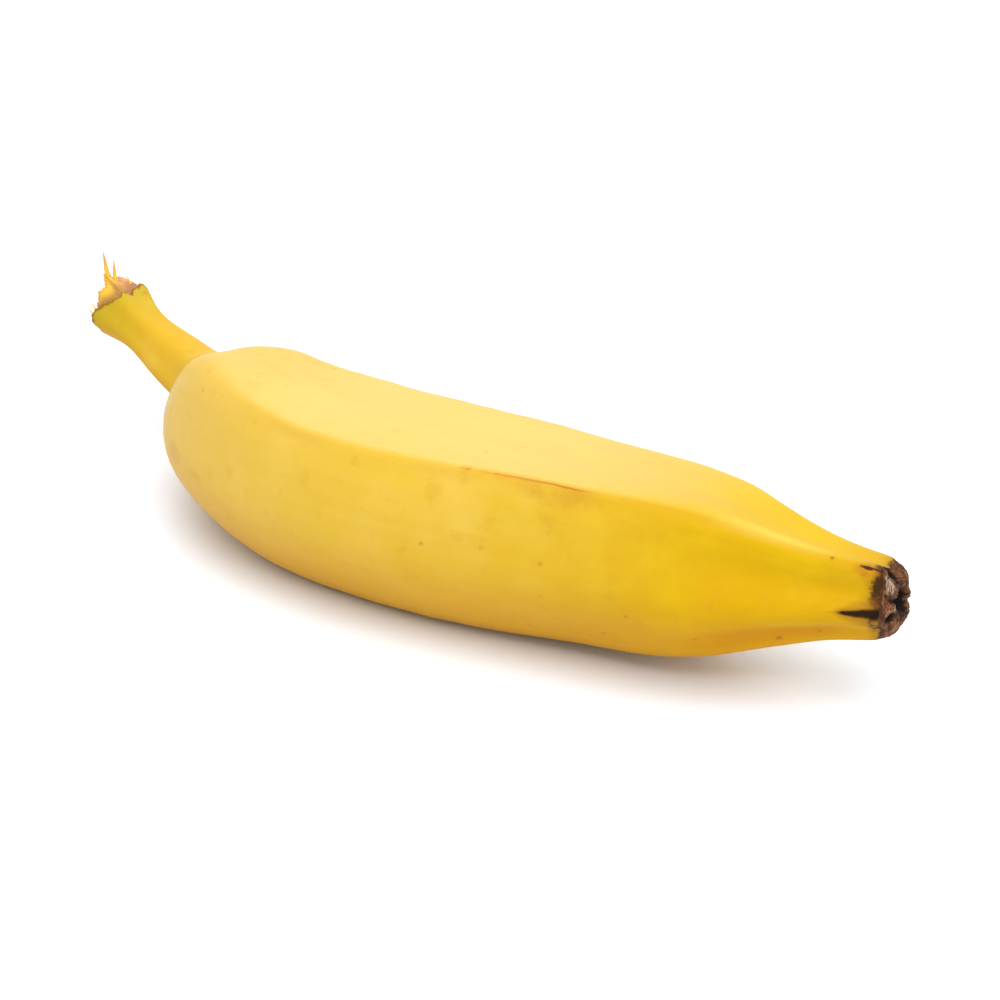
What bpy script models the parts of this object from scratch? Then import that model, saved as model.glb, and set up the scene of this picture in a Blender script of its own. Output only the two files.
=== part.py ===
"""A ripe banana lying on its side, as one closed solid.

The fruit is a skin swept along a curved axis. At each distance along the axis its section
is a pentagon with rounded corners, because a banana has five blunt ridges. The stem was
torn from its bunch, so its end is ragged, with a core and loose fibres, and the other end
is a dried, knobbly blossom cap. The underside has a small flat spot where it rests.

+X runs from the stem to the tip, +Y is the hollow side of the curve, +Z is up, and the
origin is on the table, under the middle of the fruit.
"""

import bpy
import numpy as np

# Lengths are in millimetres and angles in degrees. The mesh is written in metres.
MM = 0.001

# The axis. Each station is a distance from the stem's torn end, then the value there.
AXIS_LENGTH = 199.0
MIDDLE = 108.0
HEADING_AT = ((0, -27), (20, -23), (39, -30), (57, -27), (82, -7), (113, 5.5), (154, 3), (199, 13))
PITCH_AT = ((0, -5.5), (40, -0.8), (103, 1.1), (150, 1.4), (199, -0.6))
HEADING_EASE = 6.0
PITCH_EASE = 8.0

# The section's mean radius: a slim stem that flares at its end, a blunt shoulder, a body
# that is thickest just before its middle, and a tapered tip.
RADIUS_AT = ((0, 6.8), (9, 4.1), (21, 5.1), (31, 5.0), (38, 10.8), (45, 13.0), (53, 16.3), (64, 18.2),
             (80, 19.1), (103, 19.3), (123, 18.9), (142, 17.9), (154, 17.4), (164, 16.1), (176, 11.8),
             (189, 8.3), (194, 7.8), (197, 7.2), (199, 6.6))
RADIUS_EASE = 3.5

# The stem joins the body off its centre, towards the hollow side and the table.
NECK_AT = 28.0
NECK_SPREAD = 17.0
NECK_INWARD = 2.2
NECK_DOWN = 4.6

# The five ridges, as angles round the axis: 0 is the outer side of the curve, 90 the top.
# The first one wanders along the fruit and the others keep their angle.
FIRST_RIDGE_AT = ((0, 65), (40, 65), (80, 57), (130, 47), (175, 59), (199, 62))
OTHER_RIDGES = (-9.0, -61.0, -120.0, -208.0)
RIDGE_EASE = 10.0
SHARPNESS_AT = ((0, 6), (60, 6), (100, 8), (150, 10), (199, 9))
TROUGH_AT = ((0, 0.25), (20, 0.2), (40, 0), (140, 0), (165, 0.5), (180, 0.95), (192, 0.8), (199, 0.4))
TROUGH_EASE = 5.0

# The mesh: columns between two ridges, and the number of rows in each stretch of the axis.
COLUMNS_PER_SIDE = 9
SKIN_END = 196.2
ROW_STRETCHES = ((0, 34, 12), (34, 64, 13), (64, 150, 18), (150, SKIN_END, 14))

# The torn end of the stem. The peel is torn back on the upper outer side.
TEAR_CENTRE = 72.0
TEAR_WIDTH = 62.0
TEAR_DEPTH = 4.6
TEAR_FADES_BY = 16.0
RIM_ROUGHNESS = 0.45
PEEL_LIP = 0.88
CORE_FRACTION = 0.82
CORE_RISE = 0.4
CORE_ROUGHNESS = 0.5
TONGUE_CENTRE = 84.0
TONGUE_WIDTH = 19.0
TONGUE_RISE = 2.2

# Loose fibres: angle round the axis, fraction of the radius, length, root radius, upward
# lean and how much more the fibre leans at its tip.
FIBRES = (
    (81, 0.60, 6.0, 0.85, 0.66, 0.08),
    (94, 0.64, 4.6, 0.60, 0.80, 0.06),
    (58, 0.70, 1.8, 0.50, 0.50, 0.15),
    (125, 0.76, 1.1, 0.50, 0.30, 0.10),
    (-24, 0.90, 1.1, 0.50, 0.05, 0.15),
    (-8, 0.90, 1.3, 0.45, 0.15, 0.15),
    (8, 0.88, 1.2, 0.45, 0.20, 0.15),
    (165, 0.72, 1.5, 0.45, 0.30, 0.15),
    (201, 0.74, 1.9, 0.45, 0.10, 0.15),
    (238, 0.74, 1.7, 0.42, 0.00, 0.10),
    (286, 0.78, 1.6, 0.42, 0.00, 0.10),
)
FIBRE_SIDES = 5
FIBRE_ROOT = 1.2
FIBRE_TIP_FRACTION = 0.35

# The blossom cap, ring by ring: distance from the peel's end, fraction of the peel's radius
# there, and how far the knobs stand out. It rounds over to a shallow crater in its end, and
# it is tilted, so that the peel ends sooner on the upper hollow side.
CAP_RINGS = ((0.25, 0.97, 0.10), (0.9, 0.93, 0.20), (1.7, 0.86, 0.30), (2.4, 0.76, 0.35),
             (3.0, 0.64, 0.40), (3.2, 0.52, 0.40), (3.0, 0.40, 0.35), (2.4, 0.28, 0.20),
             (1.9, 0.14, 0.10))
CAP_TILT = 0.5
CAP_TILT_AT = 150.0
CRATER_FLOOR = 1.7
PEEL_EDGE_ROUGHNESS = 0.35
PEEL_EDGE_FROM = 190.0

# The flat spot that it rests on.
FLAT_SPOT_CUT = 0.6

# Appearance: a warm yellow peel with a soft sheen, in linear colour.
PEEL_COLOUR = (0.84, 0.50, 0.04, 1.0)
PEEL_ROUGHNESS = 0.42

EASE_STEPS = np.linspace(-2, 2, 9)
EASE_WEIGHTS = np.exp(-EASE_STEPS ** 2 / 2) / np.exp(-EASE_STEPS ** 2 / 2).sum()


def clear_scene():
    """Remove every object that the scene starts with."""
    for old in list(bpy.data.objects):
        bpy.data.objects.remove(old, do_unlink=True)


def along(distance, stations, ease):
    """Value at a distance: straight lines between the stations, rounded off over the ease."""
    at, value = np.array(stations, float).T
    return sum(w * np.interp(distance + ease * k, at, value) for w, k in zip(EASE_WEIGHTS, EASE_STEPS))


def direction(distance):
    """Unit vectors at a distance: forward along the axis, out across the curve, and up."""
    heading = np.radians(along(distance, HEADING_AT, HEADING_EASE))
    pitch = np.radians(along(distance, PITCH_AT, PITCH_EASE))
    level = np.zeros_like(heading)
    forward = np.stack([np.cos(heading) * np.cos(pitch), np.sin(heading) * np.cos(pitch),
                        np.sin(pitch)], -1)
    out = np.stack([np.sin(heading), -np.cos(heading), level], -1)
    return forward, out, np.cross(out, forward)


def axis_point(distance):
    """Point of the section's centre: the summed directions, shifted near the neck."""
    step = 0.5
    line = np.arange(-12.0, AXIS_LENGTH + 4.0, step)
    forward = direction(line)[0]
    path = np.concatenate([np.zeros((1, 3)), np.cumsum((forward[1:] + forward[:-1]) * step / 2, 0)])
    path = path - path[np.argmin(abs(line - MIDDLE))]
    centre = np.stack([np.interp(distance, line, path[:, k]) for k in range(3)], -1)
    _, out, up = direction(distance)
    near = np.exp(-((distance - NECK_AT) / NECK_SPREAD) ** 2)[..., None]
    return centre - near * (NECK_INWARD * out + NECK_DOWN * up)


def ridges(distance):
    """The five ridge angles at a distance, going down from the first."""
    first = along(distance, FIRST_RIDGE_AT, RIDGE_EASE)
    return np.stack([first] + [np.full_like(first, angle) for angle in OTHER_RIDGES], -1)


def pentagon(distance, angle):
    """Radius of a rounded pentagon whose corners are the ridges, before it is scaled.

    A side at angle m with half width h is the line cos(angle - m) / cos(h) = 1. The five
    sides are joined by a power sum, and a larger power gives sharper corners.
    """
    corner = ridges(distance)
    following = np.concatenate([corner[..., 1:], corner[..., :1] - 360], -1)
    middle = (corner + following) / 2
    half = (corner - following) / 2
    power = along(distance, SHARPNESS_AT, RIDGE_EASE)[..., None]
    reach = np.maximum(0, np.cos(np.radians(angle[..., None] - middle))) / np.cos(np.radians(half))
    return (reach ** power).sum(-1) ** (-1 / power[..., 0])


def pentagon_mean(distance):
    """Mean of the pentagon's radius at a distance, read from a line of samples."""
    line = np.linspace(-10, AXIS_LENGTH + 2, 60)
    turn = np.linspace(0, 360, 72, endpoint=False)
    grid_line, grid_turn = np.meshgrid(line, turn, indexing="ij")
    return np.interp(distance, line, pentagon(grid_line, grid_turn).mean(1))


def column_angles(distance):
    """Angles of the mesh's columns, which follow the ridges, and each one's place in its side."""
    corner = ridges(distance)
    following = np.concatenate([corner[..., 1:], corner[..., :1] - 360], -1)
    part = np.arange(COLUMNS_PER_SIDE) / COLUMNS_PER_SIDE
    angle = corner[..., :, None] + (following - corner)[..., :, None] * part
    return angle.reshape(distance.shape + (-1,)), np.tile(part, len(OTHER_RIDGES) + 1)


def skin_radius(distance, angle, part):
    """Radius of the peel: the scaled pentagon, with a shallow trough between two ridges."""
    shape = pentagon(distance, angle) / pentagon_mean(distance)
    trough = along(distance, TROUGH_AT, TROUGH_EASE) * np.sin(np.pi * part) ** 2
    return along(distance, RADIUS_AT, RADIUS_EASE) * shape - trough


def place(distance, angle, radius):
    """Point at a radius and an angle round the axis."""
    _, out, up = direction(distance)
    turn = np.radians(angle)[..., None]
    return axis_point(distance) + radius[..., None] * (np.cos(turn) * out + np.sin(turn) * up)


def waves(angle, counts, phase):
    """Uneven ripple round the axis, between about -1 and 1."""
    turn = np.radians(angle)
    return sum(np.sin(n * turn + phase * n * n) for n in counts) / len(counts) ** 0.5


def bump(angle, centre, width):
    """1 at the centre angle, falling smoothly to 0 over the width, round the circle."""
    away = (angle - centre + 180) % 360 - 180
    return np.exp(-(away / width) ** 2)


def rim_distance(angle):
    """Where the peel ends round the torn stem."""
    torn = TEAR_DEPTH * bump(angle, TEAR_CENTRE, TEAR_WIDTH)
    return 0.4 + torn + RIM_ROUGHNESS * waves(angle, (5, 8, 11, 13), 0.7)


def core_distance(angle):
    """Where the torn core ends, with a tongue that was pulled out furthest."""
    tongue = TONGUE_RISE * bump(angle, TONGUE_CENTRE, TONGUE_WIDTH)
    return -CORE_RISE - tongue + CORE_ROUGHNESS * waves(angle, (4, 7, 9), 1.3)


def peel_edge(angle):
    """How far the peel's edge runs onto the blossom cap, or stops short of it."""
    tilt = CAP_TILT * np.cos(np.radians(angle - CAP_TILT_AT))
    return PEEL_EDGE_ROUGHNESS * waves(angle, (3, 5, 8), 0.9) - tilt


def skin_rows():
    """Rows of peel points from the stem's rim to the foot of the blossom cap."""
    rows = [np.linspace(start, stop, count, endpoint=False) for start, stop, count in ROW_STRETCHES]
    base = np.append(np.concatenate(rows), SKIN_END)
    angle, part = column_angles(base)
    near_tear = np.clip(1 - base / TEAR_FADES_BY, 0, 1)[:, None] ** 2
    near_cap = np.clip((base - PEEL_EDGE_FROM) / (SKIN_END - PEEL_EDGE_FROM), 0, 1)[:, None]
    distance = base[:, None] + near_tear * rim_distance(angle) + near_cap * peel_edge(angle)
    return place(distance, angle, skin_radius(distance, angle, part[None, :]))


def torn_rows():
    """Rows of the torn end, from the middle of the core out to just inside the rim."""
    angle, part = column_angles(np.zeros(1))
    rim = rim_distance(angle)
    core = core_distance(angle)
    lumps = CORE_ROUGHNESS * waves(angle, (3, 5, 7), 2.1)
    levels = ((0.18, core + 0.2), (0.40, core - 0.3 + lumps), (0.64, core - lumps),
              (CORE_FRACTION - 0.03, core + 0.3), (CORE_FRACTION + 0.02, (rim + core) / 2),
              (PEEL_LIP, rim + 0.35), (0.96, rim + 0.05))
    rows = [place(distance, angle, fraction * skin_radius(distance, angle, part[None, :]))
            for fraction, distance in levels]
    return np.concatenate(rows)


def cap_rows():
    """Rows of the blossom cap, from its foot round its knobs and into its crater."""
    angle, part = column_angles(np.full(1, SKIN_END))
    foot = skin_radius(np.full_like(angle, SKIN_END), angle, part[None, :])
    rows = []
    for index, (distance, fraction, knob) in enumerate(CAP_RINGS):
        ripple = 0.5 * waves(angle, (4, 7, 9), 0.4) + 0.5 * waves(angle, (3, 8, 11), 1.1 + 0.2 * index)
        lumps = 0.5 * knob * waves(angle, (4, 5, 7), 2.0)
        level = SKIN_END + distance + fraction * peel_edge(angle) + lumps
        rows.append(place(level, angle, fraction * foot + knob * ripple))
    return np.concatenate(rows)


def closed_mesh(name, rows, start, end):
    """Mesh of a tube of rows, closed by a fan of triangles round a point at each end."""
    count, columns, _ = rows.shape
    points = np.concatenate([rows.reshape(-1, 3), [start, end]])
    row, column = np.meshgrid(np.arange(count - 1), np.arange(columns), indexing="ij")
    following = (column + 1) % columns
    corners = (row * columns + column, row * columns + following,
               (row + 1) * columns + following, (row + 1) * columns + column)
    faces = np.stack(corners, -1).reshape(-1, 4).tolist()
    first, last = count * columns, count * columns + 1
    ring = np.arange(columns)
    faces += [(int(b), int(a), first) for a, b in zip(ring, np.roll(ring, -1))]
    ring = ring + (count - 1) * columns
    faces += [(int(a), int(b), last) for a, b in zip(ring, np.roll(ring, -1))]
    mesh = bpy.data.meshes.new(name)
    mesh.from_pydata((points * MM).tolist(), [], faces)
    mesh.update()
    return mesh


def fruit_mesh():
    """The whole fruit without its loose fibres."""
    rows = np.concatenate([torn_rows(), skin_rows(), cap_rows()])
    core_middle = axis_point(np.array([core_distance(np.array([0.0]))[0]]))[0]
    crater_middle = axis_point(np.array([SKIN_END + CRATER_FLOOR]))[0]
    return closed_mesh("banana", rows, core_middle, crater_middle)


def fibre_mesh(angle, fraction, length, radius, lean, bend):
    """A tapered fibre that leaves the core between the axis and the upright, and bends upwards."""
    turn = np.array([float(angle)])
    distance = core_distance(turn)
    root = place(distance, turn, fraction * along(distance, RADIUS_AT, RADIUS_EASE))[0]
    forward = direction(distance)[0][0]
    up = np.array([0.0, 0.0, 1.0])
    steps = np.linspace(0, 1, 4)
    heading = [(1 - lean - bend * t) * -forward + (lean + bend * t) * up for t in steps]
    start_way = heading[0] / np.linalg.norm(heading[0])
    centre = root - FIBRE_ROOT * start_way
    rows = []
    for step, way in zip(steps, heading):
        way = way / np.linalg.norm(way)
        side = np.cross(way, [0.3, 0.9, 0.2])
        side = side / np.linalg.norm(side)
        other = np.cross(way, side)
        spin = np.radians(np.arange(FIBRE_SIDES) * -360 / FIBRE_SIDES)[:, None]
        width = radius * (1 - (1 - FIBRE_TIP_FRACTION) * step)
        rows.append(centre + width * (np.cos(spin) * side + np.sin(spin) * other))
        centre = centre + way * (length + FIBRE_ROOT) / len(steps)
    tip = centre
    start = rows[0].mean(0)
    return closed_mesh("fibre", np.array(rows), start, tip)


def join_fibres(fruit):
    """Fuse the fibres into the fruit with one Boolean union, then remove their objects."""
    group = bpy.data.collections.new("fibres")
    bpy.context.scene.collection.children.link(group)
    for values in FIBRES:
        group.objects.link(bpy.data.objects.new("fibre", fibre_mesh(*values)))
    union = fruit.modifiers.new("fibres", "BOOLEAN")
    union.operation = "UNION"
    union.operand_type = "COLLECTION"
    union.collection = group
    union.solver = "EXACT"
    bpy.context.view_layer.update()
    joined = bpy.data.meshes.new_from_object(fruit.evaluated_get(bpy.context.evaluated_depsgraph_get()))
    fruit.modifiers.clear()
    fruit.data = joined
    fruit.data.name = "banana"
    for fibre in list(group.objects):
        bpy.data.objects.remove(fibre, do_unlink=True)
    bpy.data.collections.remove(group)


def settle(mesh):
    """Press the flat spot into the underside and put the origin under the middle."""
    points = np.empty(len(mesh.vertices) * 3, dtype=np.float32)
    mesh.vertices.foreach_get("co", points)
    points = points.reshape(-1, 3)
    points[:, 2] = np.maximum(points[:, 2] - points[:, 2].min() - FLAT_SPOT_CUT * MM, 0)
    points[:, :2] -= (points[:, :2].min(0) + points[:, :2].max(0)) / 2
    mesh.vertices.foreach_set("co", points.ravel())
    mesh.update()


def peel_material():
    """Satin yellow peel."""
    material = bpy.data.materials.new("peel")
    material.use_nodes = True
    shader = material.node_tree.nodes["Principled BSDF"]
    shader.inputs["Base Color"].default_value = PEEL_COLOUR
    shader.inputs["Roughness"].default_value = PEEL_ROUGHNESS
    shader.inputs["Metallic"].default_value = 0.0
    return material


def build():
    """The banana: its skin, torn stem and blossom cap, with the fibres fused in."""
    clear_scene()
    fruit = bpy.data.objects.new("banana", fruit_mesh())
    bpy.context.scene.collection.objects.link(fruit)
    join_fibres(fruit)
    settle(fruit.data)
    fruit.data.shade_smooth()
    fruit.data.materials.clear()
    fruit.data.materials.append(peel_material())


build()
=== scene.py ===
"""A ripe banana lying on its side on a pale table, lit by broad soft light.

The solid fruit is replaced by finer surfaces of the same form: the peel, the torn pith in the
stem's end with its loose fibres, and the dried blossom cap. Every surface is worked out from
formulas on a grid. Distances run along the fruit's axis from the stem's torn end, and angles
run round it, with 0 on the outer side of the curve and 90 on top.
"""

import math

import bmesh
import bpy
import numpy as np
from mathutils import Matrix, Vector


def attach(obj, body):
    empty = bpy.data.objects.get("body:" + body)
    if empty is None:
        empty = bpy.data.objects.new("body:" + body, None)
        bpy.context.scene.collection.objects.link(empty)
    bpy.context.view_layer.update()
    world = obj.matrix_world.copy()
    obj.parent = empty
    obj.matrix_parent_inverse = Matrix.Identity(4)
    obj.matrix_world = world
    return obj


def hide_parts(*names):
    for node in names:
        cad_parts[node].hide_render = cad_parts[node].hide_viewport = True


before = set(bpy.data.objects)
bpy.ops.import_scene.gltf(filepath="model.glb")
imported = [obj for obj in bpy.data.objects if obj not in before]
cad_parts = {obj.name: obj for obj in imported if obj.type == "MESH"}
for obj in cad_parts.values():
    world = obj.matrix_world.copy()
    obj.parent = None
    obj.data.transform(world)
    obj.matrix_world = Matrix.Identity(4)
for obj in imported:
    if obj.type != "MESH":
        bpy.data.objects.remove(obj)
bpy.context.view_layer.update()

MM = 0.001

# The surfaces' own map: its two directions run to 1 over this length and this angle.
MAP_LENGTH = 200.0
MAP_ANGLE = 360.0

# The fruit's form, in millimetres and degrees, as the solid has it, apart from the first ridge,
# the sharpness and the troughs, which follow the real fruit more closely.
AXIS_LENGTH = 199.0
MIDDLE = 108.0
MIDDLE_PLACE = np.array([6.51, -8.75, 19.80])
HEADING_AT = ((0, -27), (20, -23), (39, -30), (57, -27), (82, -7), (113, 5.5), (154, 3), (199, 13))
PITCH_AT = ((0, -5.5), (40, -0.8), (103, 1.1), (150, 1.4), (199, -0.6))
HEADING_EASE = 6.0
PITCH_EASE = 8.0
RADIUS_AT = ((0, 6.8), (9, 4.1), (21, 5.1), (31, 5.0), (38, 10.8), (45, 13.0), (53, 16.3),
             (64, 18.2), (80, 19.1), (103, 19.3), (123, 18.9), (142, 17.9), (154, 17.4),
             (164, 16.1), (176, 11.8), (189, 8.3), (194, 7.8), (197, 7.2), (199, 6.6))
RADIUS_EASE = 3.5
NECK_AT = 28.0
NECK_SPREAD = 17.0
NECK_INWARD = 2.2
NECK_DOWN = 4.6
FIRST_RIDGE_AT = ((0, 65), (36, 68), (60, 56), (84, 43.5), (105, 44.8), (130, 47.8),
                  (150, 51), (175, 59), (199, 62))
OTHER_RIDGES = (-9.0, -61.0, -120.0, -208.0)
RIDGE_EASE = 10.0
SHARPNESS_AT = ((0, 4.2), (30, 4.2), (54, 4.4), (76, 7), (100, 8.5), (150, 9), (180, 7), (199, 7))
TROUGH_AT = ((0, 0.25), (20, 0.2), (40, 0), (140, 0), (165, 0.6), (180, 1.4), (191, 1.2),
             (199, 0.4))
TROUGH_EASE = 5.0
SKIN_END = 196.2

# The torn end of the stem and the tilt of the cap. The tear is narrower than the solid's.
TEAR_CENTRE = 72.0
TEAR_WIDTH = 54.0
TEAR_DEPTH = 4.6
TEAR_FADES_BY = 16.0
RIM_ROUGHNESS = 0.45
CORE_RISE = 0.4
PITH_PROUD = 2.7
PITH_PROUD_AT = 130.0
PITH_PROUD_WIDTH = 60.0
CORE_ROUGHNESS = 0.5
TONGUE_CENTRE = 84.0
TONGUE_WIDTH = 19.0
TONGUE_RISE = 2.2
PEEL_EDGE_ROUGHNESS = 0.35
PEEL_EDGE_FROM = 190.0
CAP_TILT = 0.5
CAP_TILT_AT = 150.0

# The fineness of the surfaces: a stretch is its start, its end and its number of rows.
COLUMNS_PER_SIDE = 48
PEEL_STRETCHES = ((0.15, 3, 14), (3, 34, 62), (34, 64, 62), (64, 150, 120), (150, 186, 60),
                  (186, SKIN_END, 40))

EASE_STEPS = np.linspace(-2, 2, 9)
EASE_WEIGHTS = np.exp(-EASE_STEPS ** 2 / 2) / np.exp(-EASE_STEPS ** 2 / 2).sum()


def along(distance, stations, ease):
    """Value at a distance: straight lines between the stations, rounded off over the ease."""
    at, value = np.array(stations, float).T
    return sum(weight * np.interp(distance + ease * step, at, value)
               for weight, step in zip(EASE_WEIGHTS, EASE_STEPS))


def direction(distance):
    """Unit vectors at a distance: forward along the axis, out across the curve, and up.

    Forward is turned by the heading and raised by the pitch, out is level, up is their product.
    """
    heading = np.radians(along(distance, HEADING_AT, HEADING_EASE))
    pitch = np.radians(along(distance, PITCH_AT, PITCH_EASE))
    level = np.zeros_like(heading)
    forward = np.stack([np.cos(heading) * np.cos(pitch), np.sin(heading) * np.cos(pitch),
                        np.sin(pitch)], -1)
    out = np.stack([np.sin(heading), -np.cos(heading), level], -1)
    return forward, out, np.cross(out, forward)


def axis_point(distance):
    """Centre of the section: the running sum of the forward vectors, shifted near the neck."""
    step = 0.5
    line = np.arange(-12.0, AXIS_LENGTH + 4.0, step)
    forward = direction(line)[0]
    path = np.concatenate([np.zeros((1, 3)), np.cumsum((forward[1:] + forward[:-1]) * step / 2, 0)])
    path = path - path[np.argmin(abs(line - MIDDLE))] + MIDDLE_PLACE
    centre = np.stack([np.interp(distance, line, path[:, k]) for k in range(3)], -1)
    _, out, up = direction(distance)
    near = np.exp(-((distance - NECK_AT) / NECK_SPREAD) ** 2)[..., None]
    return centre - near * (NECK_INWARD * out + NECK_DOWN * up)


def ridges(distance):
    """The five ridge angles at a distance, going down from the one that starts the columns."""
    first = along(distance, FIRST_RIDGE_AT, RIDGE_EASE)
    others = [np.full_like(first, angle) for angle in OTHER_RIDGES]
    return np.stack([others[-1] + 360, first] + others[:-1], -1)


def sides(distance):
    """The ridge that starts each side and the one that ends it."""
    corner = ridges(distance)
    return corner, np.concatenate([corner[..., 1:], corner[..., :1] - 360], -1)


def pentagon(distance, angle):
    """Rounded pentagon: the power sum of five lines, each cos(angle - middle) / cos(half width)."""
    corner, following = sides(distance)
    middle = (corner + following) / 2
    half = (corner - following) / 2
    power = along(distance, SHARPNESS_AT, RIDGE_EASE)[..., None]
    reach = np.maximum(0, np.cos(np.radians(angle[..., None] - middle))) / np.cos(np.radians(half))
    return (reach ** power).sum(-1) ** (-1 / power[..., 0])


def pentagon_mean(distance):
    """Mean of the pentagon's radius at a distance, read from a line of samples."""
    line = np.linspace(-10, AXIS_LENGTH + 2, 60)
    turn = np.linspace(0, 360, 72, endpoint=False)
    grid_line, grid_turn = np.meshgrid(line, turn, indexing="ij")
    return np.interp(distance, line, pentagon(grid_line, grid_turn).mean(1))


def column_angles(distance, per_side=COLUMNS_PER_SIDE):
    """Angles of the columns, which follow the ridges, and each one's place in its side, 0 to 1."""
    corner, following = sides(distance)
    part = np.arange(per_side) / per_side
    angle = corner[..., :, None] + (following - corner)[..., :, None] * part
    return angle.reshape(distance.shape + (-1,)), np.tile(part, corner.shape[-1])


def skin_radius(distance, angle, part):
    """The pentagon scaled to the mean radius, less the trough between two ridges."""
    shape = pentagon(distance, angle) / pentagon_mean(distance)
    trough = along(distance, TROUGH_AT, TROUGH_EASE) * np.sin(np.pi * part) ** 2
    return along(distance, RADIUS_AT, RADIUS_EASE) * shape - trough


def place(distance, angle, radius):
    """Point at a radius and an angle round the axis, pressed flat where it meets the table."""
    _, out, up = direction(distance)
    turn = np.radians(angle)[..., None]
    point = axis_point(distance) + radius[..., None] * (np.cos(turn) * out + np.sin(turn) * up)
    point[..., 2] = np.maximum(point[..., 2], 0)
    return point


def waves(angle, counts, phase):
    """Uneven ripple round the axis: the sum of sines with those counts of crests."""
    turn = np.radians(angle)
    return sum(np.sin(n * turn + phase * n * n) for n in counts) / len(counts) ** 0.5


def bump(angle, centre, width):
    """1 at the centre angle, falling as a bell curve over the width, round the circle."""
    away = (angle - centre + 180) % 360 - 180
    return np.exp(-(away / width) ** 2)


def rise(value, low, high):
    """0 below low, 1 above high, and a smooth S between them."""
    part = np.clip((value - low) / (high - low), 0, 1)
    return part * part * (3 - 2 * part)


def ripples(distance, angle, seed, lengths, counts, number=24):
    """Random smooth relief, about -1 to 1: sines with random lengths along the fruit, whole
    numbers of crests round it, and random phases."""
    draw = np.random.default_rng(seed)
    turn = np.radians(angle)
    total = 0
    for _ in range(number):
        length = draw.uniform(*lengths) * draw.choice([-1, 1])
        crests = draw.integers(*counts)
        phase = draw.uniform(0, 2 * np.pi)
        total = total + np.sin(2 * np.pi * distance / length + crests * turn + phase)
    return total / number ** 0.5


def rim_distance(angle):
    """Where the peel ends round the torn stem: the solid's rim with finer teeth."""
    torn = TEAR_DEPTH * bump(angle, TEAR_CENTRE, TEAR_WIDTH)
    teeth = 0.13 * waves(angle, (17, 23, 31), 0.31) + 0.07 * waves(angle, (41, 53, 67), 0.17)
    return 0.4 + torn + RIM_ROUGHNESS * waves(angle, (5, 8, 11, 13), 0.7) + teeth


def core_distance(angle):
    """Where the torn core ends, with a tongue that was pulled out furthest."""
    tongue = TONGUE_RISE * bump(angle, TONGUE_CENTRE, TONGUE_WIDTH)
    return -CORE_RISE - tongue + CORE_ROUGHNESS * waves(angle, (4, 7, 9), 1.3)


def peel_edge(angle):
    """How far the peel's edge runs onto the blossom cap: a tilted ring with small teeth."""
    tilt = CAP_TILT * np.cos(np.radians(angle - CAP_TILT_AT))
    teeth = 0.12 * waves(angle, (19, 29, 37), 0.45)
    return PEEL_EDGE_ROUGHNESS * waves(angle, (3, 5, 8), 0.9) - tilt + teeth


def closed_mesh(name, rows, distance, angle, first, last, attributes=None):
    """Mesh of a tube of rows, closed by a fan round a point at each end.

    The map called surface holds the distance and the angle, each over the length of its
    direction. The columns run down in angle, and the last joins the first one turn lower, so
    the map is cut on a hidden ridge.
    """
    count, columns, _ = rows.shape
    points = np.concatenate([rows.reshape(-1, 3), [first, last]]) * MM
    row, column = np.meshgrid(np.arange(count - 1), np.arange(columns), indexing="ij")
    after = (column + 1) % columns
    quads = np.stack([row * columns + column, row * columns + after,
                      (row + 1) * columns + after, (row + 1) * columns + column], -1).reshape(-1, 4)
    ring = np.arange(columns)
    following = (ring + 1) % columns
    pole = count * columns
    base = (count - 1) * columns
    start_fan = np.stack([following, ring, np.full_like(ring, pole)], -1)
    end_fan = np.stack([base + ring, base + following, np.full_like(ring, pole + 1)], -1)
    corners = np.concatenate([quads.ravel(), start_fan.ravel(), end_fan.ravel()])
    starts = np.concatenate([np.arange(len(quads)) * 4,
                             len(quads) * 4 + np.arange(2 * columns) * 3])
    mesh = bpy.data.meshes.new(name)
    mesh.vertices.add(len(points))
    mesh.vertices.foreach_set("co", points.ravel())
    mesh.loops.add(len(corners))
    mesh.loops.foreach_set("vertex_index", corners.astype(np.int32))
    mesh.polygons.add(len(starts))
    mesh.polygons.foreach_set("loop_start", starts.astype(np.int32))
    mesh.update(calc_edges=True)
    wide_angle = np.concatenate([angle, angle[:, :1] - 360], 1) / MAP_ANGLE
    wide_distance = np.concatenate([distance, distance[:, :1]], 1) / MAP_LENGTH
    chart = np.stack([wide_distance, wide_angle], -1)
    quad_map = np.stack([chart[:-1, :-1], chart[:-1, 1:], chart[1:, 1:], chart[1:, :-1]], 2)
    start_map = np.stack([chart[0, 1:], chart[0, :-1], (chart[0, 1:] + chart[0, :-1]) / 2], 1)
    end_map = np.stack([chart[-1, :-1], chart[-1, 1:], (chart[-1, 1:] + chart[-1, :-1]) / 2], 1)
    layer = mesh.uv_layers.new(name="surface")
    loops = np.concatenate([part.reshape(-1, 2) for part in (quad_map, start_map, end_map)])
    layer.data.foreach_set("uv", loops.astype(np.float32).ravel())
    for key, values in (attributes or {}).items():
        ends = [values[0].mean(), values[-1].mean()]
        flat = np.concatenate([values.ravel(), ends]).astype(np.float32)
        mesh.attributes.new(key, "FLOAT", "POINT").data.foreach_set("value", flat)
    mesh.shade_smooth()
    mesh.validate()
    return mesh


def add_piece(name, mesh, finish):
    """A piece of the fruit: linked, ridden on the fruit's body and given its finish."""
    piece = bpy.data.objects.new(name, mesh)
    bpy.context.scene.collection.objects.link(piece)
    mesh.materials.append(finish)
    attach(piece, "root")
    return piece


def joined_mesh(name, parts):
    """One mesh of several meshes' points and faces, with each one's map."""
    whole = bmesh.new()
    for part in parts:
        whole.from_mesh(part)
        bpy.data.meshes.remove(part)
    mesh = bpy.data.meshes.new(name)
    whole.to_mesh(mesh)
    whole.free()
    mesh.shade_smooth()
    return mesh


# The peel

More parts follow.
